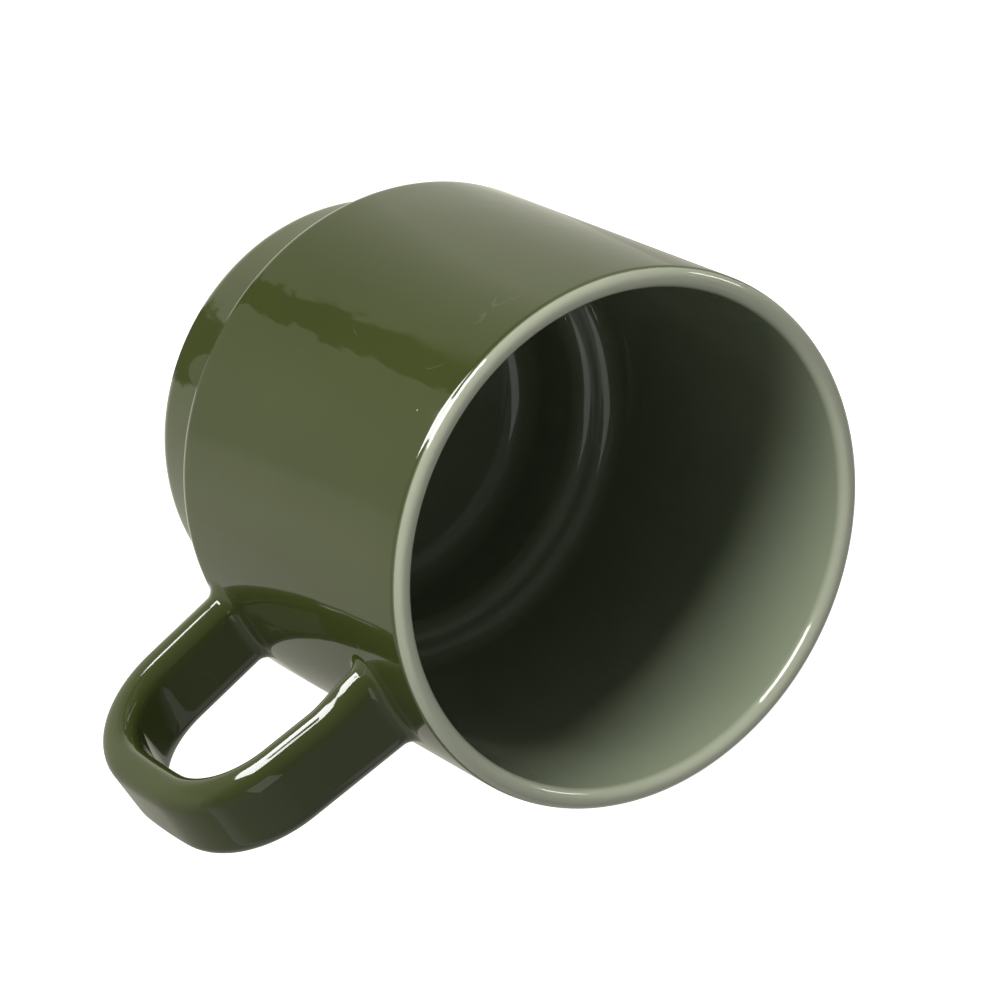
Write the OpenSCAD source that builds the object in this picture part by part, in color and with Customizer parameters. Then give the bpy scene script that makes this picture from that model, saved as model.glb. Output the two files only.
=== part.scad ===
// Stoneware stacking mug. A pressed clay body and a separate clay handle are joined with
// slip, then coated with a sage glaze inside and an olive glaze outside.
// Z is up, the origin is the middle of the foot on the table, and the handle points along +X.

/* [Body] */
// Outer diameter of the wall, over the glaze
mug_d = 84; // [76:1:96]
// Height from the table to the top of the lip
mug_h = 82.8; // [72:0.2:110]
// Wall thickness over the glaze, which is also the diameter of the rounded lip
wall_t = 3.3; // [2.9:0.1:5]
// Radius of the rounding where the wall turns in to the shoulder
shoulder_r = 3; // [2:0.5:4.5]

/* [Foot] */
// Height of the foot, from the table to the flat underside of the shoulder
foot_h = 18.6; // [14:0.2:24]
// How far the foot is set in from the wall, so that it nests in another mug's mouth
shoulder_w = 6.8; // [5.5:0.1:9]
// Thickness of the foot's own wall, over the glaze
foot_wall_t = 3; // [2.6:0.1:5]
// Rounding of the foot's outer bottom edge
foot_edge_r = 4; // [2.6:0.1:4.4]
// Width of the ring that the mug stands on, from the foot's outside to the recess
foot_ring_w = 8; // [7.4:0.1:11]
// Height of the recess under the floor, over the glaze
recess_h = 1.2; // [0.9:0.1:2.5]
// Thickness of the floor, over the glaze on both sides
floor_t = 3.8; // [3.2:0.1:7]

/* [Inside] */
// Height of the inner ledge above the outer shoulder
ledge_rise = 2.4; // [2:0.1:4]
// Radius of both bends of the inner ledge
ledge_r = 3.2; // [2:0.1:3.6]
// Radius between the floor and the foot's inner wall
floor_r = 5; // [2:0.5:8]

/* [Handle] */
// Width of the band, along the direction that the fingers point, over the glaze
handle_w = 13.9; // [11:0.1:18]
// Thickness of the band, over the glaze
handle_t = 6.1; // [5:0.1:8]
// How far the handle stands out from the wall
handle_reach = 33.2; // [30:0.2:45]
// Depth of the upper arm's middle below the lip, at the wall
upper_arm_drop = 14.8; // [12:0.2:20]
// Slope of the upper arm, in degrees below level
upper_arm_slope = 9.6; // [0:0.2:14]
// Height of the lower arm's middle above the shoulder, at the wall
lower_arm_rise = 6.1; // [6.1:0.1:12]
// Radius of the upright bar's long bow, at mid-thickness
bow_r = 128; // [80:1:300]
// Radius of the upper bend, at mid-thickness
upper_bend_r = 14.7; // [8:0.1:17]
// Radius of the lower bend, at mid-thickness
lower_bend_r = 15.9; // [8:0.1:17]

/* [Coats] */
// Thickness of the glaze
glaze_t = 0.4; // [0.3:0.05:0.6]
// Thickness of the slip that joins the handle to the wall
slip_t = 0.4; // [0.2:0.05:0.6]
// Depth below the top of the lip where the sage glaze gives way to the olive
lip_line_drop = 0.8; // [0.5:0.05:1.4]
// Height above the table where the glaze stops and the clay is bare
bare_h = 0.8; // [0.5:0.1:1]

/* [Hidden] */
$fn = 96;
CLAY_COLOR = [0.85, 0.80, 0.71];
SLIP_COLOR = [0.78, 0.73, 0.64];
SAGE_COLOR = [0.51, 0.53, 0.44];
OLIVE_COLOR = [0.25, 0.28, 0.13];
// Length by which a cut or a mask runs past what it meets
past = 2;

body_r = mug_d / 2;
foot_r = body_r - shoulder_w;
bore_r = body_r - wall_t;
well_r = foot_r - foot_wall_t;
floor_z = recess_h + floor_t;
ledge_z = foot_h + ledge_rise;
recess_r = foot_r - foot_ring_w;
// Small inside radius at the foot of the shoulder, and the two edges of the foot ring
shoulder_root_r = 1.2;
recess_edge_r = 1.2;
// The lip is a half round on top of the wall
lip_r = wall_t / 2;
lip_mid_r = body_r - lip_r;
lip_mid_z = mug_h - lip_r;

// Middle line of the handle, as [x, z] points
reach_x = body_r + handle_reach;
upper_root = [body_r, mug_h - upper_arm_drop];
lower_root = [body_r, foot_h + lower_arm_rise];
upper_dir = [cos(upper_arm_slope), -sin(upper_arm_slope)];
upper_in = [-sin(upper_arm_slope), -cos(upper_arm_slope)];
lower_dir = [1, 0];
lower_in = [0, 1];
bar_mid_z = (upper_root[1] + lower_root[1]) / 2;
bow_mid = [reach_x - handle_t / 2 - bow_r, bar_mid_z];
// Length of arm that runs into the wall before it is trimmed
arm_sink = 6;

// Middle of a bend that touches an arm and, from inside, the bow of the upright bar
function bend_mid(root, dir, inward, r) =
    let (start = root + r * inward - bow_mid)
    let (along = start * dir)
    let (t = -along + sqrt(along * along - start * start + (bow_r - r) * (bow_r - r)))
    root + r * inward + t * dir;
// Direction of a point from the middle of the bow
function bow_angle(p) = atan2(p[1] - bow_mid[1], p[0] - bow_mid[0]);

upper_mid = bend_mid(upper_root, upper_dir, upper_in, upper_bend_r);
lower_mid = bend_mid(lower_root, lower_dir, lower_in, lower_bend_r);
upper_end = upper_mid - upper_bend_r * upper_in;
lower_end = lower_mid - lower_bend_r * lower_in;
upper_start = upper_root - arm_sink * upper_dir;
lower_start = lower_root - arm_sink * lower_dir;
// Facets round each half-round side of the band, along each bend and along the bow
SIDE_STEPS = 12;
BEND_STEPS = 11;
BOW_STEPS = 3;
// Stations along the band: upper arm, upper bend, bowed bar, lower bend and lower arm
STATIONS = concat(
    [[upper_start[0], upper_start[1], 90 - upper_arm_slope]],
    [[upper_end[0], upper_end[1], 90 - upper_arm_slope]],
    bend_stations(upper_mid, upper_bend_r, 90 - upper_arm_slope, bow_angle(upper_mid), BEND_STEPS),
    bend_stations(bow_mid, bow_r, bow_angle(upper_mid), bow_angle(lower_mid), BOW_STEPS),
    bend_stations(lower_mid, lower_bend_r, bow_angle(lower_mid), -90, BEND_STEPS),
    [[lower_start[0], lower_start[1], -90]]);

// Region between a square corner at p and the round of radius r that replaces it.
// The round's middle lies along [sx, sy] from the corner.
module corner_web(p, sx, sy, r) {
    translate(p)
    mirror([sx < 0 ? 1 : 0, 0])
    mirror([0, sy < 0 ? 1 : 0])
    difference() {
        square([r, r]);
        translate([r, r]) circle(r);
    }
}

// Half section of the mug's outside, filled to the axis, drawn in by `cut` on every side
module outside(cut) {
    // Foot, whose underside is bare clay at the table when cut is the glaze's thickness
    difference() {
        translate([0, cut - glaze_t]) square([foot_r - cut, foot_h + shoulder_r - cut + glaze_t]);
        corner_web([foot_r - cut, cut - glaze_t], -1, 1, foot_edge_r - cut);
    }
    // Wall, up to the middle of the lip
    difference() {
        translate([0, foot_h + cut]) square([body_r - cut, lip_mid_z - foot_h - cut]);
        corner_web([body_r - cut, foot_h + cut], -1, 1, shoulder_r - cut);
    }
    corner_web([foot_r - cut, foot_h + cut], 1, -1, shoulder_root_r + cut);
    translate([lip_mid_r, lip_mid_z]) circle(lip_r - cut);
}

// Half section of the hollow that holds the drink, grown by `cut` into the clay
module hollow(cut) {
    difference() {
        translate([0, floor_z - cut]) square([well_r + cut, mug_h - floor_z + cut + past]);
        corner_web([well_r + cut, floor_z - cut], -1, 1, floor_r + cut);
    }
    difference() {
        translate([0, ledge_z - cut]) square([bore_r + cut, mug_h - ledge_z + cut + past]);
        corner_web([bore_r + cut, ledge_z - cut], -1, 1, ledge_r + cut);
    }
    corner_web([well_r + cut, ledge_z - cut], 1, -1, ledge_r - cut);
}

// Half section of the recess under the floor, grown by `cut` into the clay
module recess(cut) {
    difference() {
        translate([0, -past]) square([recess_r + cut, recess_h + cut + past]);
        corner_web([recess_r + cut, recess_h + cut], -1, -1, recess_h);
    }
}

// Half section of the whole wall and floor, drawn in by `cut` on every glazed side
module wall_section(cut) {
    difference() {
        outside(cut);
        hollow(cut);
        recess(cut);
    }
}

// Everything that the sage glaze reaches: the hollow and the lip down to the colour line
module sage_side() {
    hollow(glaze_t);
    translate([0, lip_mid_z]) square([lip_mid_r, lip_r + past]);
    translate([0, mug_h - lip_line_drop]) square([body_r + past, lip_line_drop + past]);
}

// Cross section of the band, a rounded bar: x through its thickness, y across its width
function band_section(cut) =
    let (r = handle_t / 2 - cut)
    let (side = (handle_w - handle_t) / 2)
    [for (k = [0:2 * SIDE_STEPS + 1])
        let (half = k > SIDE_STEPS ? 1 : 0)
        let (a = (k - half) * 180 / SIDE_STEPS)
        [r * cos(a), (half == 0 ? side : -side) + r * sin(a)]];

// Section carried to a station [x, z, a], where a is the direction of the band's outer face
function band_ring(station, cut) =
    [for (p = band_section(cut))
        [station[0] + p[0] * cos(station[2]), p[1], station[1] + p[0] * sin(station[2])]];

// Stations along a bend about `mid`, from face direction a to b, without its first one
function bend_stations(mid, r, a, b, steps) =
    [for (k = [1:steps])
        let (t = a + (b - a) * k / steps)
        [mid[0] + r * cos(t), mid[1] + r * sin(t), t]];

// Straight arm of the band, from inside the wall to the start of its bend
module arm(root, dir, to, cut) {
    from = root - arm_sink * dir;
    rotate([90, 0, 0])
    translate([from[0], from[1], 0])
    rotate([0, 0, atan2(dir[1], dir[0])])
    rotate([90, 0, 90])
    linear_extrude((to - from) * dir) polygon(band_section(cut));
}

module upper_arm(cut) {
    arm(upper_root, upper_dir, upper_end, cut);
}

module lower_arm(cut) {
    arm(lower_root, lower_dir, lower_end, cut);
}

// Faces of the skin between the rings of a sweep, which start at point number `first`
function skin_faces(first, rings, sides, flip) =
    [for (i = [0:rings - 2], j = [0:sides - 1])
        let (k = (j + 1) % sides)
        let (here = first + i * sides)
        let (next = here + sides)
        flip ? [here + k, here + j, next + j, next + k] : [here + j, here + k, next + k, next + j]];

// Solid band, drawn in by `cut` all round, with its ends inside the wall
module solid_band(cut) {
    rings = [for (s = STATIONS) band_ring(s, cut)];
    sides = len(rings[0]);
    last = (len(rings) - 1) * sides;
    polyhedron(
        points = [for (r = rings, p = r) p],
        faces = concat(
            skin_faces(0, len(rings), sides, false),
            [[for (j = [sides - 1:-1:0]) j]],
            [[for (j = [0:sides - 1]) last + j]]));
}

// Hollow band: the coat between the band and the band drawn in by `cut`
module band_coat(cut) {
    outer = [for (s = STATIONS) band_ring(s, 0)];
    inner = [for (s = STATIONS) band_ring(s, cut)];
    sides = len(outer[0]);
    count = len(outer) * sides;
    last = count - sides;
    polyhedron(
        points = concat([for (r = outer, p = r) p], [for (r = inner, p = r) p]),
        faces = concat(
            skin_faces(0, len(outer), sides, false),
            skin_faces(count, len(inner), sides, true),
            [for (j = [0:sides - 1]) let (k = (j + 1) % sides) [k, j, count + j, count + k]],
            [for (j = [0:sides - 1]) let (k = (j + 1) % sides)
                [last + j, last + k, count + last + k, count + last + j]]));
}

// Solid round bar on the mug's axis, taller than the handle
module trim_bar(r) {
    translate([0, 0, -past]) cylinder(r = r, h = mug_h + 2 * past);
}

// Slip that fills the seam between an arm and the wall
module slip_pad() {
    intersection() {
        children();
        difference() {
            trim_bar(body_r - glaze_t + slip_t);
            trim_bar(body_r - glaze_t);
        }
    }
}

module clay_body() {
    color(CLAY_COLOR)
    difference() {
        rotate_extrude() wall_section(glaze_t);
        // Eased inner edge of the ring that the mug stands on
        rotate_extrude() corner_web([recess_r + glaze_t, 0], 1, 1, recess_edge_r);
    }
}

module clay_handle() {
    color(CLAY_COLOR)
    difference() {
        solid_band(glaze_t);
        trim_bar(body_r - glaze_t + slip_t);
    }
}

module upper_slip_joint() {
    color(SLIP_COLOR) slip_pad() upper_arm(glaze_t);
}

module lower_slip_joint() {
    color(SLIP_COLOR) slip_pad() lower_arm(glaze_t);
}

module inner_glaze() {
    color(SAGE_COLOR)
    rotate_extrude()
    difference() {
        intersection() {
            wall_section(0);
            sage_side();
        }
        wall_section(glaze_t);
    }
}

module outer_glaze() {
    color(OLIVE_COLOR)
    difference() {
        rotate_extrude()
        difference() {
            outside(0);
            outside(glaze_t);
            sage_side();
            translate([0, -past]) square([body_r, bare_h + past]);
        }
        upper_arm(glaze_t);
        lower_arm(glaze_t);
    }
}

module handle_glaze() {
    color(OLIVE_COLOR)
    difference() {
        band_coat(glaze_t);
        trim_bar(body_r);
    }
}

module base_glaze() {
    color(OLIVE_COLOR)
    rotate_extrude()
    difference() {
        recess(glaze_t);
        recess(0);
        translate([0, -2 * past]) square([body_r, bare_h + 2 * past]);
    }
}

clay_body();
clay_handle();
upper_slip_joint();
lower_slip_joint();
inner_glaze();
outer_glaze();
handle_glaze();
base_glaze();
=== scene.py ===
import math

import bmesh
import bpy
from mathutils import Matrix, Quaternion, Vector


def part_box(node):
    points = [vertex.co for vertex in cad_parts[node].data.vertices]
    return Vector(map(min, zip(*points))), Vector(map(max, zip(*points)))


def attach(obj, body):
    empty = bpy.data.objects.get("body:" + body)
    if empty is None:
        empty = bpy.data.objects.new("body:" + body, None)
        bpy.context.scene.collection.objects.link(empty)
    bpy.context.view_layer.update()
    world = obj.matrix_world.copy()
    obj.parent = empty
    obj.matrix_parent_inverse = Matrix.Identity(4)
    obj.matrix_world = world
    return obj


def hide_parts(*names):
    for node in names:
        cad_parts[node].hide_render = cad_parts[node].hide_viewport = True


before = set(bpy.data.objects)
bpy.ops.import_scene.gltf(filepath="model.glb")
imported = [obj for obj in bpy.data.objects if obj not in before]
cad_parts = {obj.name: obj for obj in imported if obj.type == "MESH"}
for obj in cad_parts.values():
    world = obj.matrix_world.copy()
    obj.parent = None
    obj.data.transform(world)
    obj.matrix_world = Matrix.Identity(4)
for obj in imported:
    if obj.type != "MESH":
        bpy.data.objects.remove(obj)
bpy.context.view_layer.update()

# ---------------------------------------------------------------------------
# Clay body, clay handle and slip seams. The mug is pressed from fine buff
# stoneware, the handle is stuck on with slip, and both are fired once with the
# glaze. Bare clay only shows on the ring that the mug stands on.
# ---------------------------------------------------------------------------
MM = 0.001
CLAY_BUFF = "#CDBFA6"
CLAY_DARK = "#B3A286"
SLIP_GREY = "#BDB19B"
IRON_SPECK = "#5B4632"


def linear(hex_colour):
    """sRGB hex as linear red, green, blue and alpha."""
    parts = [int(hex_colour[i:i + 2], 16) / 255 for i in (1, 3, 5)]
    return [c / 12.92 if c <= 0.04045 else ((c + 0.055) / 1.055) ** 2.4 for c in parts] + [1.0]


def add_node(tree, kind, inputs=None, **settings):
    """One node of a material, with its settings, its fixed inputs and its links."""
    node = tree.nodes.new(kind)
    for key, value in settings.items():
        setattr(node, key, value)
    for name, value in (inputs or {}).items():
        if isinstance(value, bpy.types.NodeSocket):
            tree.links.new(value, node.inputs[name])
        else:
            node.inputs[name].default_value = value
    return node


def new_material(name):
    """Empty node material and its output node."""
    material = bpy.data.materials.new(name)
    material.use_nodes = True
    material.node_tree.nodes.clear()
    return material, material.node_tree, material.node_tree.nodes.new("ShaderNodeOutputMaterial")


def fired_stoneware(name, light, dark):
    """Bare fired clay: matt, slightly blotchy, with a fine sandy tooth and iron specks."""
    material, tree, output = new_material(name)
    place = add_node(tree, "ShaderNodeTexCoord").outputs["Object"]
    # Blotches about 9 mm across, from uneven heat
    blotch = add_node(tree, "ShaderNodeTexNoise", {"Vector": place, "Scale": 110.0, "Detail": 3.0})
    # Grains of 0.5 mm, drawn coarser than the 0.1 mm grog so that they show
    grain = add_node(tree, "ShaderNodeTexNoise", {"Vector": place, "Scale": 2000.0, "Detail": 2.0})
    # One iron speck about every 3 mm
    speck = add_node(tree, "ShaderNodeTexVoronoi", {"Vector": place, "Scale": 330.0})
    is_speck = add_node(tree, "ShaderNodeMapRange", {
        "Value": speck.outputs["Distance"], "From Min": 0.10, "From Max": 0.16,
        "To Min": 0.7, "To Max": 0.0})
    body = add_node(tree, "ShaderNodeMix", {
        "Factor": blotch.outputs["Fac"], "A": linear(light), "B": linear(dark)}, data_type="RGBA")
    spotted = add_node(tree, "ShaderNodeMix", {
        "Factor": is_speck.outputs["Result"], "A": body.outputs["Result"],
        "B": linear(IRON_SPECK)}, data_type="RGBA")
    tooth = add_node(tree, "ShaderNodeBump", {
        "Height": grain.outputs["Fac"], "Strength": 0.6, "Distance": 0.05 * MM})
    shader = add_node(tree, "ShaderNodeBsdfPrincipled", {
        "Base Color": spotted.outputs["Result"], "Roughness": 0.85, "IOR": 1.5,
        "Specular IOR Level": 0.3, "Normal": tooth.outputs["Normal"]})
    tree.links.new(shader.outputs["BSDF"], output.inputs["Surface"])
    return material


def dress(node, material):
    """Gives a CAD node that keeps its mesh a new finish."""
    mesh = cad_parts[node].data
    mesh.materials.clear()
    mesh.materials.append(material)


stoneware = fired_stoneware("fired_buff_stoneware", CLAY_BUFF, CLAY_DARK)
slip = fired_stoneware("fired_slip", SLIP_GREY, CLAY_DARK)
for node, material, slot in (
        ("clay_body", stoneware, "clay"), ("clay_handle", stoneware, "clay"),
        ("upper_slip_joint", slip, "slip"), ("lower_slip_joint", slip, "slip")):
    dress(node, material)

# ---------------------------------------------------------------------------
# Sage glaze inside. It is poured into the mug and swirled, so it covers the
# floor, the well, the ledge and the bore, and it runs over the rounded lip to a
# line just outside, where the olive glaze starts.
# ---------------------------------------------------------------------------
GLAZE = 0.4
MUG_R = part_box("outer_glaze")[1].y / MM
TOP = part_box("inner_glaze")[1].z / MM
LIP_R = 1.65
LIP_MID = (MUG_R - LIP_R, TOP - LIP_R)
BORE_R = MUG_R - 2 * LIP_R
LINE_Z = TOP - 0.8
FLOOR_Z = 5.0
WELL_R = 32.2
FLOOR_ROUND = 5.0
LEDGE_Z = 21.0
LEDGE_ROUND = 3.2
SEGMENTS = 384
SAGE = "#8F9680"
SAGE_DEEP = "#7F8870"
SAGE_THIN = "#B4B9A2"


def arc(mid, radius, start, end, steps):
    """Points round a circle between two angles in degrees, ends included."""
    turn = [math.radians(start + (end - start) * k / steps) for k in range(steps + 1)]
    return [(mid[0] + radius * math.cos(a), mid[1] + radius * math.sin(a)) for a in turn]


def climb(a, b, step=2.0):
    """Points on the straight run from a to b, without its ends."""
    count = max(1, round(math.dist(a, b) / step))
    return [(a[0] + (b[0] - a[0]) * k / count, a[1] + (b[1] - a[1]) * k / count)
            for k in range(1, count)]


def joined(*runs):
    """One path through several runs, with straight stretches filled in between them."""
    path = list(runs[0])
    for run in runs[1:]:
        path += climb(path[-1], run[0]) + list(run)
    return path


def ripple(turn, height):
    """How far the poured glaze lies below its full thickness, in mm: long, shallow waves."""
    wave = (0.32 * math.sin(3 * turn + height / 19 + 0.7)
            + 0.26 * math.sin(5 * turn - height / 13 + 2.1)
            + 0.22 * math.sin(8 * turn + height / 9 + 4.4)
            + 0.20 * math.sin(13 * turn - height / 7 + 1.3))
    return 0.02 * (1 + wave)


def turned(name, skin, back, material):
    """Closed ring of glaze: `skin` is its face, `back` the side against the clay.
    Either may start or end on the axis. The face carries the glaze's own waves."""
    mesh = bmesh.new()
    path = skin + back[::-1]
    rings = []
    for index, (r, z) in enumerate(path):
        if r < 1e-6:
            rings.append([mesh.verts.new((0, 0, z * MM))])
            continue
        ring = []
        for k in range(SEGMENTS):
            a = 2 * math.pi * k / SEGMENTS
            r_here, z_here = r, z
            if index < len(skin):
                before = skin[max(index - 1, 0)]
                after = skin[min(index + 1, len(skin) - 1)]
                run = math.dist(before, after)
                low = ripple(a, z) * min(1.0, r / 12)
                r_here = r - low * (after[1] - before[1]) / run
                z_here = z + low * (after[0] - before[0]) / run
            ring.append(mesh.verts.new((r_here * math.cos(a) * MM, r_here * math.sin(a) * MM,
                                        z_here * MM)))
        rings.append(ring)
    count = len(rings)
    for i in range(count):
        here, there = rings[i], rings[(i + 1) % count]
        if len(here) == 1 and len(there) == 1:
            continue
        for k in range(SEGMENTS):
            n = (k + 1) % SEGMENTS
            corners = [here[k % len(here)], here[n % len(here)], there[n % len(there)],
                       there[k % len(there)]]
            face = [v for j, v in enumerate(corners) if v not in corners[:j]]
            mesh.faces.new(face)
    bmesh.ops.recalc_face_normals(mesh, faces=mesh.faces)
    for face in mesh.faces:
        face.smooth = True
    for ring in (rings[0], rings[len(skin) - 1], rings[len(skin)], rings[-1]):
        for v in ring:
            for e in v.link_edges:
                if e.other_vert(v) in ring:
                    e.smooth = False
    data = bpy.data.meshes.new(name)
    mesh.to_mesh(data)
    mesh.free()
    data.materials.append(material)
    piece = bpy.data.objects.new(name, data)
    bpy.context.scene.collection.objects.link(piece)
    return piece


WAVE_HEIGHT = 0.03
MARK_HEIGHT = 0.015


def gloss_glaze(name, full, deep, thin, roughness, edges):
    """Fired gloss glaze: a smooth glass skin over the clay. It pools darker and breaks paler,
    ripples gently, and has a few pin marks. `edges` are the heights, in mm, where it runs thin."""
    material, tree, output = new_material(name)
    place = add_node(tree, "ShaderNodeTexCoord").outputs["Object"]
    # Pools of colour about 25 mm across
    pool = add_node(tree, "ShaderNodeTexNoise", {"Vector": place, "Scale": 40.0, "Detail": 2.0})
    pooled = add_node(tree, "ShaderNodeMix", {
        "Factor": pool.outputs["Fac"], "A": linear(full), "B": linear(deep)}, data_type="RGBA")
    colour = pooled.outputs["Result"]
    height = add_node(tree, "ShaderNodeSeparateXYZ", {"Vector": place}).outputs["Z"]
    for z, half_width, strength in edges:
        away = add_node(tree, "ShaderNodeMath", {0: height, 1: z * MM}, operation="SUBTRACT")
        gap = add_node(tree, "ShaderNodeMath", {0: away.outputs[0]}, operation="ABSOLUTE")
        near = add_node(tree, "ShaderNodeMapRange", {
            "Value": gap.outputs[0], "From Min": 0.0, "From Max": half_width * MM,
            "To Min": strength, "To Max": 0.0}, interpolation_type="SMOOTHSTEP")
        broken = add_node(tree, "ShaderNodeMix", {
            "Factor": near.outputs["Result"], "A": colour, "B": linear(thin)}, data_type="RGBA")
        colour = broken.outputs["Result"]
    # Pin marks 0.5 mm across, one in about every tenth cell of 7 mm
    pin = add_node(tree, "ShaderNodeTexVoronoi", {"Vector": place, "Scale": 140.0})
    pit = add_node(tree, "ShaderNodeMapRange", {
        "Value": pin.outputs["Distance"], "From Min": 0.015, "From Max": 0.04,
        "To Min": 1.0, "To Max": 0.0})
    pick = add_node(tree, "ShaderNodeSeparateXYZ", {"Vector": pin.outputs["Color"]})
    chosen = add_node(tree, "ShaderNodeMath", {0: pick.outputs["X"], 1: 0.88},
                      operation="GREATER_THAN")
    pits = add_node(tree, "ShaderNodeMath", {0: pit.outputs["Result"], 1: chosen.outputs[0]},
                    operation="MULTIPLY")
    # Hairline marks 0.15 mm wide and a few mm long, from stacking: thin contours of a slow
    # noise, kept only in small patches
    course = add_node(tree, "ShaderNodeTexNoise", {
        "Vector": place, "Scale": 75.0, "Detail": 1.0, "Distortion": 0.3})
    offset = add_node(tree, "ShaderNodeMath", {0: course.outputs["Fac"], 1: 0.5},
                      operation="SUBTRACT")
    off_line = add_node(tree, "ShaderNodeMath", {0: offset.outputs[0]}, operation="ABSOLUTE")
    line = add_node(tree, "ShaderNodeMapRange", {
        "Value": off_line.outputs[0], "From Min": 0.001, "From Max": 0.004,
        "To Min": 1.0, "To Max": 0.0})
    patch = add_node(tree, "ShaderNodeTexNoise", {"Vector": place, "Scale": 130.0, "Detail": 0.0})
    in_patch = add_node(tree, "ShaderNodeMapRange", {
        "Value": patch.outputs["Fac"], "From Min": 0.70, "From Max": 0.78, "To Max": 0.45})
    scratch = add_node(tree, "ShaderNodeMath", {
        0: line.outputs["Result"], 1: in_patch.outputs["Result"]}, operation="MULTIPLY")
    marks = add_node(tree, "ShaderNodeMath", {0: pits.outputs[0], 1: scratch.outputs[0]},
                     operation="MAXIMUM")
    mark_share = add_node(tree, "ShaderNodeMath", {0: marks.outputs[0], 1: 0.35},
                          operation="MULTIPLY")
    marked = add_node(tree, "ShaderNodeMix", {
        "Factor": mark_share.outputs[0], "A": colour, "B": linear(thin)}, data_type="RGBA")
    # Waves of the fired skin, 7 mm long
    wave = add_node(tree, "ShaderNodeTexNoise", {"Vector": place, "Scale": 140.0, "Detail": 1.0})
    waves = add_node(tree, "ShaderNodeBump", {
        "Height": wave.outputs["Fac"], "Strength": 1.0, "Distance": WAVE_HEIGHT * MM})
    skin = add_node(tree, "ShaderNodeBump", {
        "Height": marks.outputs[0], "Strength": 1.0, "Distance": MARK_HEIGHT * MM,
        "Normal": waves.outputs["Normal"]}, invert=True)
    shader = add_node(tree, "ShaderNodeBsdfPrincipled", {
        "Base Color": marked.outputs["Result"], "Roughness": roughness, "IOR": 1.5,
        "Normal": skin.outputs["Normal"]})
    tree.links.new(shader.outputs["BSDF"], output.inputs["Surface"])
    return material


sage_glaze = gloss_glaze("sage_gloss_glaze", SAGE, SAGE_DEEP, SAGE_THIN, 0.06,
                         [(TOP, 1.8, 1.0)])
line_angle = math.degrees(math.asin((LINE_Z - LIP_MID[1]) / LIP_R))
back_angle = math.degrees(math.asin(min(1.0, (LINE_Z - LIP_MID[1]) / (LIP_R - GLAZE))))
sage_skin = joined(
    arc(LIP_MID, LIP_R, line_angle, 180, 28),
    arc((BORE_R - LEDGE_ROUND, LEDGE_Z + LEDGE_ROUND), LEDGE_ROUND, 0, -90, 14),
    arc((WELL_R + LEDGE_ROUND, LEDGE_Z - LEDGE_ROUND), LEDGE_ROUND, 90, 180, 14),
    arc((WELL_R - FLOOR_ROUND, FLOOR_Z + FLOOR_ROUND), FLOOR_ROUND, 0, -90, 16),
    [(0.0, FLOOR_Z)])
sage_back = joined(
    arc(LIP_MID, LIP_R - GLAZE, back_angle, 180, 20),
    arc((BORE_R - LEDGE_ROUND, LEDGE_Z + LEDGE_ROUND), LEDGE_ROUND + GLAZE, 0, -90, 10),
    arc((WELL_R + LEDGE_ROUND, LEDGE_Z - LEDGE_ROUND), LEDGE_ROUND - GLAZE, 90, 180, 10),
    arc((WELL_R - FLOOR_ROUND, FLOOR_Z + FLOOR_ROUND), FLOOR_ROUND + GLAZE, 0, -90, 12),
    [(0.0, FLOOR_Z - GLAZE)])
sage_coat = turned("sage_glaze_inside", sage_skin, sage_back, sage_glaze)
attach(sage_coat, "root")
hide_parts("inner_glaze")

# ---------------------------------------------------------------------------
# Olive glaze outside. The mug is dipped upside down, so the coat runs from the
# lip line over the wall, round the soft shoulder and down the set-in foot, and
# it is wiped off just above the ring that stands on the table.
# ---------------------------------------------------------------------------
SHOULDER_Z = 18.6
SHOULDER_ROUND = 3.0
FOOT_R = 35.2
FOOT_ROUND = 4.0
FOOT_MID = (FOOT_R - FOOT_ROUND, 3.6)
ROOT_ROUND = 1.2
WIPE_Z = 0.8
OLIVE = "#3E4621"
OLIVE_DEEP = "#363E1C"
OLIVE_THIN = "#7C8268"

olive_glaze = gloss_glaze("olive_gloss_glaze", OLIVE, OLIVE_DEEP, OLIVE_THIN, 0.05,
                          [(LINE_Z, 0.35, 0.6), (WIPE_Z, 0.5, 0.5)])


def foot_angle(radius):
    """Where the wiped edge meets the foot's rounded bottom, in degrees."""
    return math.degrees(math.asin((WIPE_Z - FOOT_MID[1]) / radius))


def outside_path(inset):
    """The mug's outside from the wiped edge to the lip line, moved in by `inset`."""
    lip_end = math.degrees(math.asin(min(1.0, (LINE_Z - LIP_MID[1]) / (LIP_R - inset))))
    return joined(
        arc(FOOT_MID, FOOT_ROUND - inset, foot_angle(FOOT_ROUND - inset), 0, 12),
        arc((FOOT_R + ROOT_ROUND, SHOULDER_Z - ROOT_ROUND), ROOT_ROUND + inset, 180, 90, 10),
        arc((MUG_R - SHOULDER_ROUND, SHOULDER_Z + SHOULDER_ROUND), SHOULDER_ROUND - inset,
            -90, 0, 20),
        arc(LIP_MID, LIP_R - inset, 0, lip_end, 12))


olive_coat = turned("olive_glaze_outside", outside_path(0.0), outside_path(GLAZE), olive_glaze)
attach(olive_coat, "root")
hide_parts("outer_glaze")

# ---------------------------------------------------------------------------
# Glaze of the recess under the floor: the same olive, left in the hollow that
# the foot ring surrounds, up to the edge where the ring was wiped.
# ---------------------------------------------------------------------------
RECESS_R = 27.2
RECESS_Z = 1.2
RECESS_ROUND = 1.2


def recess_path(inset):
    """The recess from the axis to its wiped edge, moved into the clay by `inset`."""
    mid = (RECESS_R + inset - RECESS_ROUND, RECESS_Z + inset - RECESS_ROUND)
    end = math.degrees(math.asin((WIPE_Z - mid[1]) / RECESS_ROUND))
    return joined([(0.0, RECESS_Z + inset)], arc(mid, RECESS_ROUND, 90, end, 10))


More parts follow.
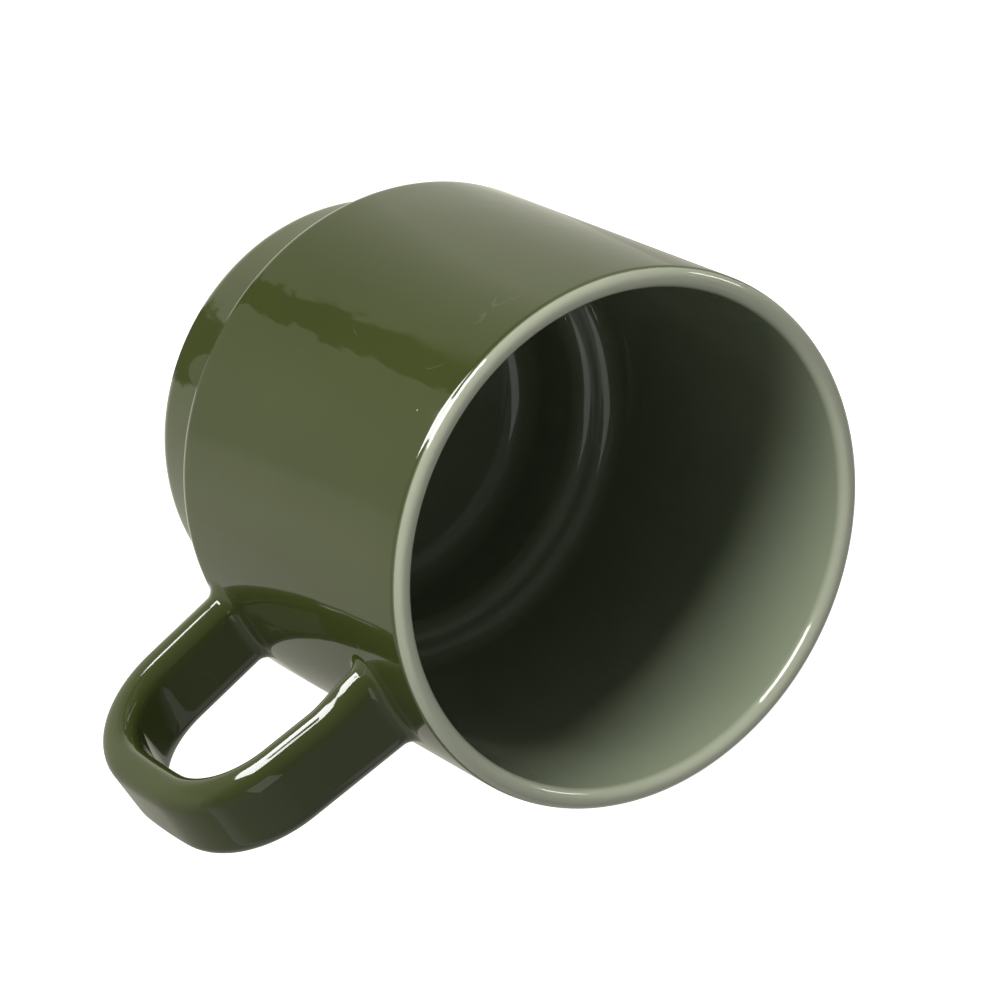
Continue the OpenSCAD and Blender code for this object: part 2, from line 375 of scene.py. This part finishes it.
recess_coat = turned("olive_glaze_in_recess", recess_path(0.0), recess_path(GLAZE), olive_glaze)
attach(recess_coat, "root")
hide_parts("base_glaze")

# ---------------------------------------------------------------------------
# Olive glaze on the handle. The handle is a bent bar with fully rounded sides,
# and the glaze fills its two roots to soft fillets that melt into the wall.
# ---------------------------------------------------------------------------
BAND_W = 13.9
BAND_T = 6.1
REACH_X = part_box("handle_glaze")[1].x / MM
UPPER_ROOT = Vector((MUG_R, TOP - 14.8))
LOWER_ROOT = Vector((MUG_R, SHOULDER_Z + 6.1))
UPPER_SLOPE = math.radians(9.6)
BOW_R = 128.0
UPPER_BEND = 14.7
LOWER_BEND = 15.9
SIDE_STEPS = 20
FLAT_STEPS = 6
FILLET = 1.9
FILLET_STEPS = 14
UPPER_FLARE = 1.4
FLARE_LENGTH = 8.0
FLARE_STEPS = 8

upper_way = Vector((math.cos(UPPER_SLOPE), -math.sin(UPPER_SLOPE)))
lower_way = Vector((1.0, 0.0))
bow_mid = Vector((REACH_X - BAND_T / 2 - BOW_R, (UPPER_ROOT.y + LOWER_ROOT.y) / 2))


def bend_middle(root, way, inward, radius):
    """Middle of the bend that touches an arm and, from inside, the bow of the upright bar."""
    start = root + radius * inward - bow_mid
    along = start.dot(way)
    reach = -along + math.sqrt(along ** 2 - start.dot(start) + (BOW_R - radius) ** 2)
    return root + radius * inward + reach * way


def bow_angle(point):
    """Direction of a point from the middle of the bow, in degrees."""
    return math.degrees(math.atan2(point.y - bow_mid.y, point.x - bow_mid.x))


def bend_stations(middle, radius, start, end, steps):
    """Stations (x, z, direction of the outer face in degrees) along one bend."""
    points = arc(middle, radius, start, end, steps)
    return [(p[0], p[1], start + (end - start) * k / steps) for k, p in enumerate(points)]


upper_in = Vector((-upper_way.y, upper_way.x)) * -1
lower_in = Vector((0.0, 1.0))
upper_mid = bend_middle(UPPER_ROOT, upper_way, upper_in, UPPER_BEND)
lower_mid = bend_middle(LOWER_ROOT, lower_way, lower_in, LOWER_BEND)
upper_face = 90 - math.degrees(UPPER_SLOPE)
band_stations = (
    bend_stations(upper_mid, UPPER_BEND, upper_face, bow_angle(upper_mid), 26)
    + bend_stations(bow_mid, BOW_R, bow_angle(upper_mid), bow_angle(lower_mid), 10)[1:]
    + bend_stations(lower_mid, LOWER_BEND, bow_angle(lower_mid), -90, 26)[1:])


def band_section(inset):
    """Rounded bar in section: (through its thickness, across its width) in mm."""
    radius = BAND_T / 2 - inset
    side = (BAND_W - BAND_T) / 2
    right = [(radius * math.cos(math.pi * k / SIDE_STEPS),
              side + radius * math.sin(math.pi * k / SIDE_STEPS)) for k in range(SIDE_STEPS + 1)]
    left = [(-x, -y) for x, y in right]
    points = []
    for run, nxt in ((right, left), (left, right)):
        points += run + climb(run[-1], nxt[0], 2 * side / FLAT_STEPS)
    return points


def band_ring(station, inset):
    """The bar's section carried to a station, as points in mm."""
    x, z, face = station
    c, s = math.cos(math.radians(face)), math.sin(math.radians(face))
    return [Vector((x + p * c, w, z + p * s)) for p, w in band_section(inset)]


def wall_hit(point, way):
    """Where a line of the arm from `point` against `way` meets the wall's face."""
    a = way.x ** 2 + way.y ** 2
    b = point.x * way.x + point.y * way.y
    c = point.x ** 2 + point.y ** 2 - MUG_R ** 2
    return point + way * ((-b + math.sqrt(b * b - a * c)) / a)


def wall_radius(turn, z):
    """Radius of the glazed wall at a height, with its waves and the round of the shoulder."""
    drop = max(0.0, SHOULDER_Z + SHOULDER_ROUND - z)
    inward = SHOULDER_ROUND - math.sqrt(SHOULDER_ROUND ** 2 - drop ** 2)
    return MUG_R - inward - ripple(turn, z)


def flared_root(root, way, face, inset, flare):
    """Rings from the wall out to the plain arm: a tight round fillet that leaves the wall
    smoothly, then a slow flare of `flare` mm on the side towards -Y."""
    way3 = Vector((way.x, 0.0, way.y))
    runs = []
    for step in range(FLARE_STEPS + 1):
        share = step / FLARE_STEPS
        wider = flare * (1 - share) ** 2 * (1 + 2 * share)
        ring = []
        for p in band_ring((root.x, root.y, face), inset):
            side = max(0.0, -p.y / (BAND_W / 2))
            ring.append(wall_hit(p - Vector((0.0, wider * side * side, 0.0)), way3)
                        + way3 * (FILLET + FLARE_LENGTH * share))
        runs.append(ring)
    arms = runs[0]
    hits = [p - way3 * FILLET for p in arms]
    if inset:
        return [hits] + runs
    flat = [Vector((MUG_R * math.atan2(h.y, h.x), h.z)) for h in hits]
    ends = []
    for k, spot in enumerate(flat):
        along = (flat[(k + 1) % len(flat)] - flat[k - 1]).normalized()
        out = Vector((along.y, -along.x))
        if out.dot(spot - Vector((0.0, root.y))) < 0:
            out.negate()
        ends.append(spot + out * FILLET)
    arm_flat = [Vector((MUG_R * math.atan2(a.y, a.x), a.z)) for a in arms]
    rings = []
    for step in range(FILLET_STEPS + 1):
        angle = math.pi / 2 * step / FILLET_STEPS
        off_wall, off_arm = 1 - math.cos(angle), 1 - math.sin(angle)
        here = []
        for spot, end, arm, far in zip(flat, ends, arm_flat, arms):
            place = spot + (end - spot) * off_arm + (arm - spot) * off_wall
            start_r = wall_radius(end.x / MUG_R, end.y) + 0.004
            r = start_r + (math.hypot(far.x, far.y) - start_r) * off_wall
            turn = place.x / MUG_R
            here.append(Vector((r * math.cos(turn), r * math.sin(turn), place.y)))
        rings.append(here)
    return rings + runs[1:]


def handle_rings(inset):
    """All the rings of the handle's skin, from the upper root round to the lower one."""
    upper = flared_root(UPPER_ROOT, upper_way, upper_face, inset, UPPER_FLARE)
    lower = flared_root(LOWER_ROOT, lower_way, -90, inset, 0.0)
    return upper + [band_ring(s, inset) for s in band_stations] + lower[::-1]


def swept(name, outer, inner, material):
    """Closed coat between two sets of rings, joined at both ends."""
    mesh = bmesh.new()
    skins = [[[mesh.verts.new(p * MM) for p in ring] for ring in rings]
             for rings in (outer, inner)]
    loops = skins[0] + skins[1][::-1]
    for i, ring in enumerate(loops):
        there = loops[(i + 1) % len(loops)]
        for k in range(len(ring)):
            n = (k + 1) % len(ring)
            mesh.faces.new((ring[k], ring[n], there[n], there[k]))
    bmesh.ops.recalc_face_normals(mesh, faces=mesh.faces)
    for face in mesh.faces:
        face.smooth = True
    for ring in (skins[0][0], skins[0][-1], skins[1][0], skins[1][-1]):
        for k, v in enumerate(ring):
            edge = mesh.edges.get((v, ring[(k + 1) % len(ring)]))
            edge.smooth = False
    data = bpy.data.meshes.new(name)
    mesh.to_mesh(data)
    mesh.free()
    data.materials.append(material)
    piece = bpy.data.objects.new(name, data)
    bpy.context.scene.collection.objects.link(piece)
    return piece


handle_coat = swept("olive_glaze_on_handle", handle_rings(0.0), handle_rings(GLAZE), olive_glaze)
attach(handle_coat, "root")
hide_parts("handle_glaze")

# ---------------------------------------------------------------------------
# Table, room and camera. The mug stands on a pale acrylic table lit from below,
# in a pale room with a few soft lamps.
# ---------------------------------------------------------------------------
TABLE_SIZE = 12.0
TABLE_WHITE = "#F2F2F0"
TABLE_CLOUD = "#EEEEEC"
REFLECTION_TINT = "#FFFEED"

table_mesh = bpy.data.meshes.new("light_table")
half = TABLE_SIZE / 2
table_mesh.from_pydata([(-half, -half, 0), (half, -half, 0), (half, half, 0), (-half, half, 0)],
                       [], [(0, 1, 2, 3)])
table = bpy.data.objects.new("light_table", table_mesh)
bpy.context.scene.collection.objects.link(table)
white, tree, output = new_material("opal_acrylic_with_painted_reflection")
place = add_node(tree, "ShaderNodeTexCoord").outputs["Object"]
cloud = add_node(tree, "ShaderNodeTexNoise", {"Vector": place, "Scale": 3.0, "Detail": 2.0})
shade = add_node(tree, "ShaderNodeMix", {
    "Factor": cloud.outputs["Fac"], "A": linear(TABLE_WHITE), "B": linear(TABLE_CLOUD)},
    data_type="RGBA")
seen = add_node(tree, "ShaderNodeBsdfPrincipled", {
    "Base Color": shade.outputs["Result"], "Roughness": 0.9, "Specular IOR Level": 0.1,
    "Emission Color": linear("#FFFFFF"), "Emission Strength": 0.88})
# What the table shows to gloss rays only: a painted reflection map, brightness by azimuth round
# the mug, brighter close to the mug, with a painted dark strip in it. Pairs of azimuth in degrees
# and brightness.
FAR_PAINTED_REFLECTION = ((-180, 0.70), (-150, 0.71), (-140, 0.77), (-128, 0.84), (-118, 0.66), (-110, 0.56),
             (-100, 0.46), (-85, 0.45), (-72, 0.50), (-58, 0.59), (-41, 0.59), (-37, 0.74),
             (-24, 0.80), (-14, 0.73), (0, 0.62), (30, 0.42), (75, 0.55), (105, 0.75), (130, 0.55))
# The low stops at -72.5 and -52.5 degrees are painted shade close to the foot, seen only in
# reflections
NEAR_PAINTED_REFLECTION = ((-180, 1.05), (-112, 1.15), (-95, 0.98), (-75, 0.85), (-72.5, 0.07), (-52.5, 0.09),
              (-51, 0.95), (-42, 1.05), (-20, 1.20), (0, 1.20), (180, 1.05))
NEAR_TURN = 0.175
NEAR_END = 0.042
FAR_START = 0.052
# Sides and level of the painted dark strip, painted shade seen only in reflections
PAINTED_DARK_STRIP_LEFT = -0.0071
PAINTED_DARK_STRIP_RIGHT = 0.0159
PAINTED_DARK_STRIP_LEVEL = 0.05
GAP_PLACE = (0.0245, -0.0362, 0.0)
GAP_R = 0.0043


def painted_reflection_ring(tree, angle, painted_reflection, offset=0.0):
    """Painted reflection brightness round the mug by azimuth, as a colour ramp through the pairs.
    """
    share = add_node(tree, "ShaderNodeMapRange", {
        "Value": angle, "From Min": offset - math.pi, "From Max": offset + math.pi})
    ring = add_node(tree, "ShaderNodeValToRGB", {"Fac": share.outputs["Result"]})
    stops = ring.color_ramp.elements
    stops.remove(stops[1])
    for k, (degrees, value) in enumerate(painted_reflection):
        stop = stops[0] if k == 0 else stops.new((degrees + 180) / 360)
        stop.position = (degrees + 180) / 360
        stop.color = (value, value, value, 1.0)
    return ring.outputs["Color"]


spot = add_node(tree, "ShaderNodeSeparateXYZ", {"Vector": place})
x_of, y_of = spot.outputs["X"], spot.outputs["Y"]
around = add_node(tree, "ShaderNodeMath", {0: y_of, 1: x_of}, operation="ARCTAN2")
# Edges waver in steps of about 5 mm and finer
waver = add_node(tree, "ShaderNodeTexNoise", {
    "Vector": place, "Scale": 190.0, "Detail": 4.0, "Roughness": 0.6})
wavered = add_node(tree, "ShaderNodeMath", {
    0: waver.outputs["Fac"], 1: 0.35, 2: around.outputs[0]}, operation="MULTIPLY_ADD")
away = add_node(tree, "ShaderNodeVectorMath", {0: place}, operation="LENGTH")
close_by = add_node(tree, "ShaderNodeMapRange", {
    "Value": away.outputs["Value"], "From Min": FAR_START, "From Max": NEAR_END},
    interpolation_type="SMOOTHSTEP")
painted_reflection = add_node(tree, "ShaderNodeMix", {
    "Factor": close_by.outputs["Result"], "A": painted_reflection_ring(tree, around.outputs[0], FAR_PAINTED_REFLECTION),
    "B": painted_reflection_ring(tree, wavered.outputs[0], NEAR_PAINTED_REFLECTION, NEAR_TURN)}, data_type="RGBA")
# The painted dark strip, painted shade seen only in reflections, starts 46 mm from the middle.
# `outward` is 0 at 55 mm and 1 at 95 mm; the strip's left side leans and softens with it.
beyond = add_node(tree, "ShaderNodeMath", {0: y_of, 1: -25.0, 2: -1.375},
                  operation="MULTIPLY_ADD")
outward = add_node(tree, "ShaderNodeMath", {0: beyond.outputs[0], 1: 0.0}, operation="MAXIMUM")
cube = add_node(tree, "ShaderNodeMath", {0: outward.outputs[0], 1: 3.0}, operation="POWER")
middle_x = add_node(tree, "ShaderNodeMath", {0: x_of, 1: -0.004}, operation="ADD")
wave_x = add_node(tree, "ShaderNodeMath", {
    0: waver.outputs["Fac"], 1: 0.016, 2: middle_x.outputs[0]}, operation="MULTIPLY_ADD")
lean = add_node(tree, "ShaderNodeMath", {
    0: outward.outputs[0], 1: 0.010, 2: wave_x.outputs[0]}, operation="MULTIPLY_ADD")
left_x = add_node(tree, "ShaderNodeMath", {
    0: cube.outputs[0], 1: 0.002, 2: lean.outputs[0]}, operation="MULTIPLY_ADD")
from_left = add_node(tree, "ShaderNodeMath", {0: left_x.outputs[0], 1: PAINTED_DARK_STRIP_LEFT},
                     operation="ADD")
blur = add_node(tree, "ShaderNodeMath", {
    0: cube.outputs[0], 1: 0.014, 2: 0.0009}, operation="MULTIPLY_ADD")
left_share = add_node(tree, "ShaderNodeMath", {
    0: from_left.outputs[0], 1: blur.outputs[0]}, operation="DIVIDE")
left = add_node(tree, "ShaderNodeMapRange", {
    "Value": left_share.outputs[0], "From Min": -0.5, "From Max": 0.5},
    interpolation_type="SMOOTHSTEP")
right = add_node(tree, "ShaderNodeMapRange", {
    "Value": wave_x.outputs[0], "From Min": PAINTED_DARK_STRIP_RIGHT + 0.0007, "From Max": PAINTED_DARK_STRIP_RIGHT},
    interpolation_type="SMOOTHSTEP")
front = add_node(tree, "ShaderNodeMapRange", {
    "Value": y_of, "From Min": -0.040, "From Max": -0.046}, interpolation_type="SMOOTHSTEP")
sides = add_node(tree, "ShaderNodeMath", {
    0: left.outputs["Result"], 1: right.outputs["Result"]}, operation="MULTIPLY")
painted_dark_strip = add_node(tree, "ShaderNodeMath", {
    0: sides.outputs[0], 1: front.outputs["Result"]}, operation="MULTIPLY")
# A painted lit gap in the painted shade close to the foot
from_gap = add_node(tree, "ShaderNodeVectorMath", {0: place, 1: GAP_PLACE}, operation="DISTANCE")
gap = add_node(tree, "ShaderNodeMapRange", {
    "Value": from_gap.outputs["Value"], "From Min": GAP_R + 0.0004, "From Max": GAP_R,
    "To Max": 0.55}, interpolation_type="SMOOTHSTEP")
painted_reflection_with_gap = add_node(tree, "ShaderNodeMix", {
    "Factor": 1.0, "A": painted_reflection.outputs["Result"], "B": gap.outputs["Result"]},
    data_type="RGBA", blend_type="LIGHTEN")
dimmed = add_node(tree, "ShaderNodeMix", {
    "Factor": painted_dark_strip.outputs[0], "A": painted_reflection_with_gap.outputs["Result"],
    "B": (PAINTED_DARK_STRIP_LEVEL, PAINTED_DARK_STRIP_LEVEL, PAINTED_DARK_STRIP_LEVEL, 1.0)}, data_type="RGBA")
warmed = add_node(tree, "ShaderNodeMix", {
    "Factor": 1.0, "A": dimmed.outputs["Result"], "B": linear(REFLECTION_TINT)},
    data_type="RGBA", blend_type="MULTIPLY")
# Gloss rays see the painted reflection map, other rays an even glow, the camera the plain white
# table
ray = add_node(tree, "ShaderNodeLightPath")
to_gloss = add_node(tree, "ShaderNodeEmission", {
    "Color": warmed.outputs["Result"], "Strength": 1.0})
to_all = add_node(tree, "ShaderNodeEmission", {"Color": linear("#FFFFFF"), "Strength": 0.75})
given = add_node(tree, "ShaderNodeMixShader", {
    0: ray.outputs["Is Glossy Ray"], 1: to_all.outputs["Emission"],
    2: to_gloss.outputs["Emission"]})
both = add_node(tree, "ShaderNodeMixShader", {
    0: ray.outputs["Is Camera Ray"], 1: given.outputs["Shader"], 2: seen.outputs["BSDF"]})
tree.links.new(both.outputs["Shader"], output.inputs["Surface"])
table_mesh.materials.append(white)

world = bpy.data.worlds.new("studio")
world.use_nodes = True
sky = world.node_tree
sky.nodes.clear()
direction = add_node(sky, "ShaderNodeTexCoord").outputs["Generated"]
upward = add_node(sky, "ShaderNodeSeparateXYZ", {"Vector": direction}).outputs["Z"]
fade = add_node(sky, "ShaderNodeMapRange", {
    "Value": upward, "From Min": 0.02, "From Max": 0.30, "To Min": 0.42, "To Max": 0.16},
    interpolation_type="SMOOTHSTEP")
# A pale wall of the room stands beyond the handle side
facing = add_node(sky, "ShaderNodeVectorMath", {
    0: direction, 1: (math.cos(math.radians(55)), math.sin(math.radians(55)), 0.35)},
    operation="DOT_PRODUCT")
room_wall = add_node(sky, "ShaderNodeMapRange", {
    "Value": facing.outputs["Value"], "From Min": 0.55, "From Max": 0.95, "To Min": 0.0,
    "To Max": 0.25}, interpolation_type="SMOOTHSTEP")
glow = add_node(sky, "ShaderNodeMath", {0: fade.outputs["Result"], 1: room_wall.outputs["Result"]},
                operation="ADD")
air = add_node(sky, "ShaderNodeBackground", {
    "Color": linear("#FFFFFF"), "Strength": glow.outputs[0]})
add_node(sky, "ShaderNodeOutputWorld", {"Surface": air.outputs["Background"]})
bpy.context.scene.world = world


def bearing(azimuth, elevation):
    """Unit vector towards a direction given in degrees, azimuth from +X towards +Y."""
    a, e = math.radians(azimuth), math.radians(elevation)
    return Vector((math.cos(a) * math.cos(e), math.sin(a) * math.cos(e), math.sin(e)))


LAMP_TARGET = Vector((0, 0, 0.04))


def softbox(name, azimuth, elevation, distance, width, height, brightness):
    """Area light that faces the middle of the mug. `brightness` is against a white surface."""
    data = bpy.data.lights.new(name, "AREA")
    data.shape = "RECTANGLE"
    data.size = width
    data.size_y = height
    data.energy = brightness * math.pi * width * height
    lamp = bpy.data.objects.new(name, data)
    away = bearing(azimuth, elevation)
    lamp.location = LAMP_TARGET + away * distance
    lamp.rotation_mode = "QUATERNION"
    lamp.rotation_quaternion = away.to_track_quat("Z", "Y")
    lamp.visible_camera = False
    bpy.context.scene.collection.objects.link(lamp)
    return lamp


# The key is big and low and kept out of the gloss; the window panel only shows in the gloss
softbox("key_softbox", -80, 12.5, 1.2, 0.70, 0.40, 17).visible_glossy = False
softbox("side_softbox", 175, 24, 1.2, 0.30, 0.14, 14)
softbox("fill_softbox", 110, 35, 1.6, 1.2, 0.8, 0.4)
softbox("window_panel", 14, 60, 1.2, 0.90, 0.56, 0.85).visible_diffuse = False

# A low panel in front gives the lip a fine white line; only the inner glaze reflects it
lip_panel = softbox("lip_panel", -81.5, 17, 1.2, 0.70, 0.62, 22)
lip_panel.visible_diffuse = False
lip_only = bpy.data.collections.new("lip_only")
lip_only.objects.link(sage_coat)
lip_panel.light_linking.receiver_collection = lip_only

# A long lamp lies on the table in front with a card standing behind it, and both only show in
# the gloss
LAMP_BRIGHTNESS = 20.0

lamp_mesh = bpy.data.meshes.new("strip_lamp")
lamp_mesh.from_pydata([(0.026, -0.101, 0.0005), (0.060, -0.101, 0.0005), (0.130, -0.300, 0.0005),
                       (0.048, -0.300, 0.0005), (-0.015, -0.300, 0.0005), (0.048, -0.302, 0.112),
                       (0.130, -0.302, 0.112)], [], [(0, 1, 2, 3, 4), (3, 2, 6, 5)])
strip_lamp = bpy.data.objects.new("strip_lamp", lamp_mesh)
bpy.context.scene.collection.objects.link(strip_lamp)
lit, tree, output = new_material("lamp_diffuser")
glowing = add_node(tree, "ShaderNodeEmission", {
    "Color": linear("#FFFFFF"), "Strength": LAMP_BRIGHTNESS})
tree.links.new(glowing.outputs["Emission"], output.inputs["Surface"])
lamp_mesh.materials.append(lit)
strip_lamp.visible_camera = False
strip_lamp.visible_diffuse = False
strip_lamp.visible_shadow = False

# The camera looks down into the mug and is rolled far over
FOCAL_LENGTH = 158.4
SENSOR_WIDTH = 36
CAMERA_TARGET = Vector((1.188, 4.284, 43.986)) * MM
CAMERA_AZIMUTH = -65.04
CAMERA_ELEVATION = 52.605
CAMERA_DISTANCE = 0.68656
CAMERA_ROLL = 115.59

camera_data = bpy.data.cameras.new("camera")
camera_data.lens = FOCAL_LENGTH
camera_data.sensor_width = SENSOR_WIDTH
camera_data.clip_start = 0.05
camera_data.clip_end = 50
camera = bpy.data.objects.new("camera", camera_data)
bpy.context.scene.collection.objects.link(camera)
towards_camera = bearing(CAMERA_AZIMUTH, CAMERA_ELEVATION)
camera.location = CAMERA_TARGET + towards_camera * CAMERA_DISTANCE
camera.rotation_mode = "QUATERNION"
roll = Quaternion((0, 0, 1), math.radians(CAMERA_ROLL))
camera.rotation_quaternion = towards_camera.to_track_quat("Z", "Y") @ roll
bpy.context.scene.camera = camera
bpy.context.scene.view_settings.view_transform = "Standard"
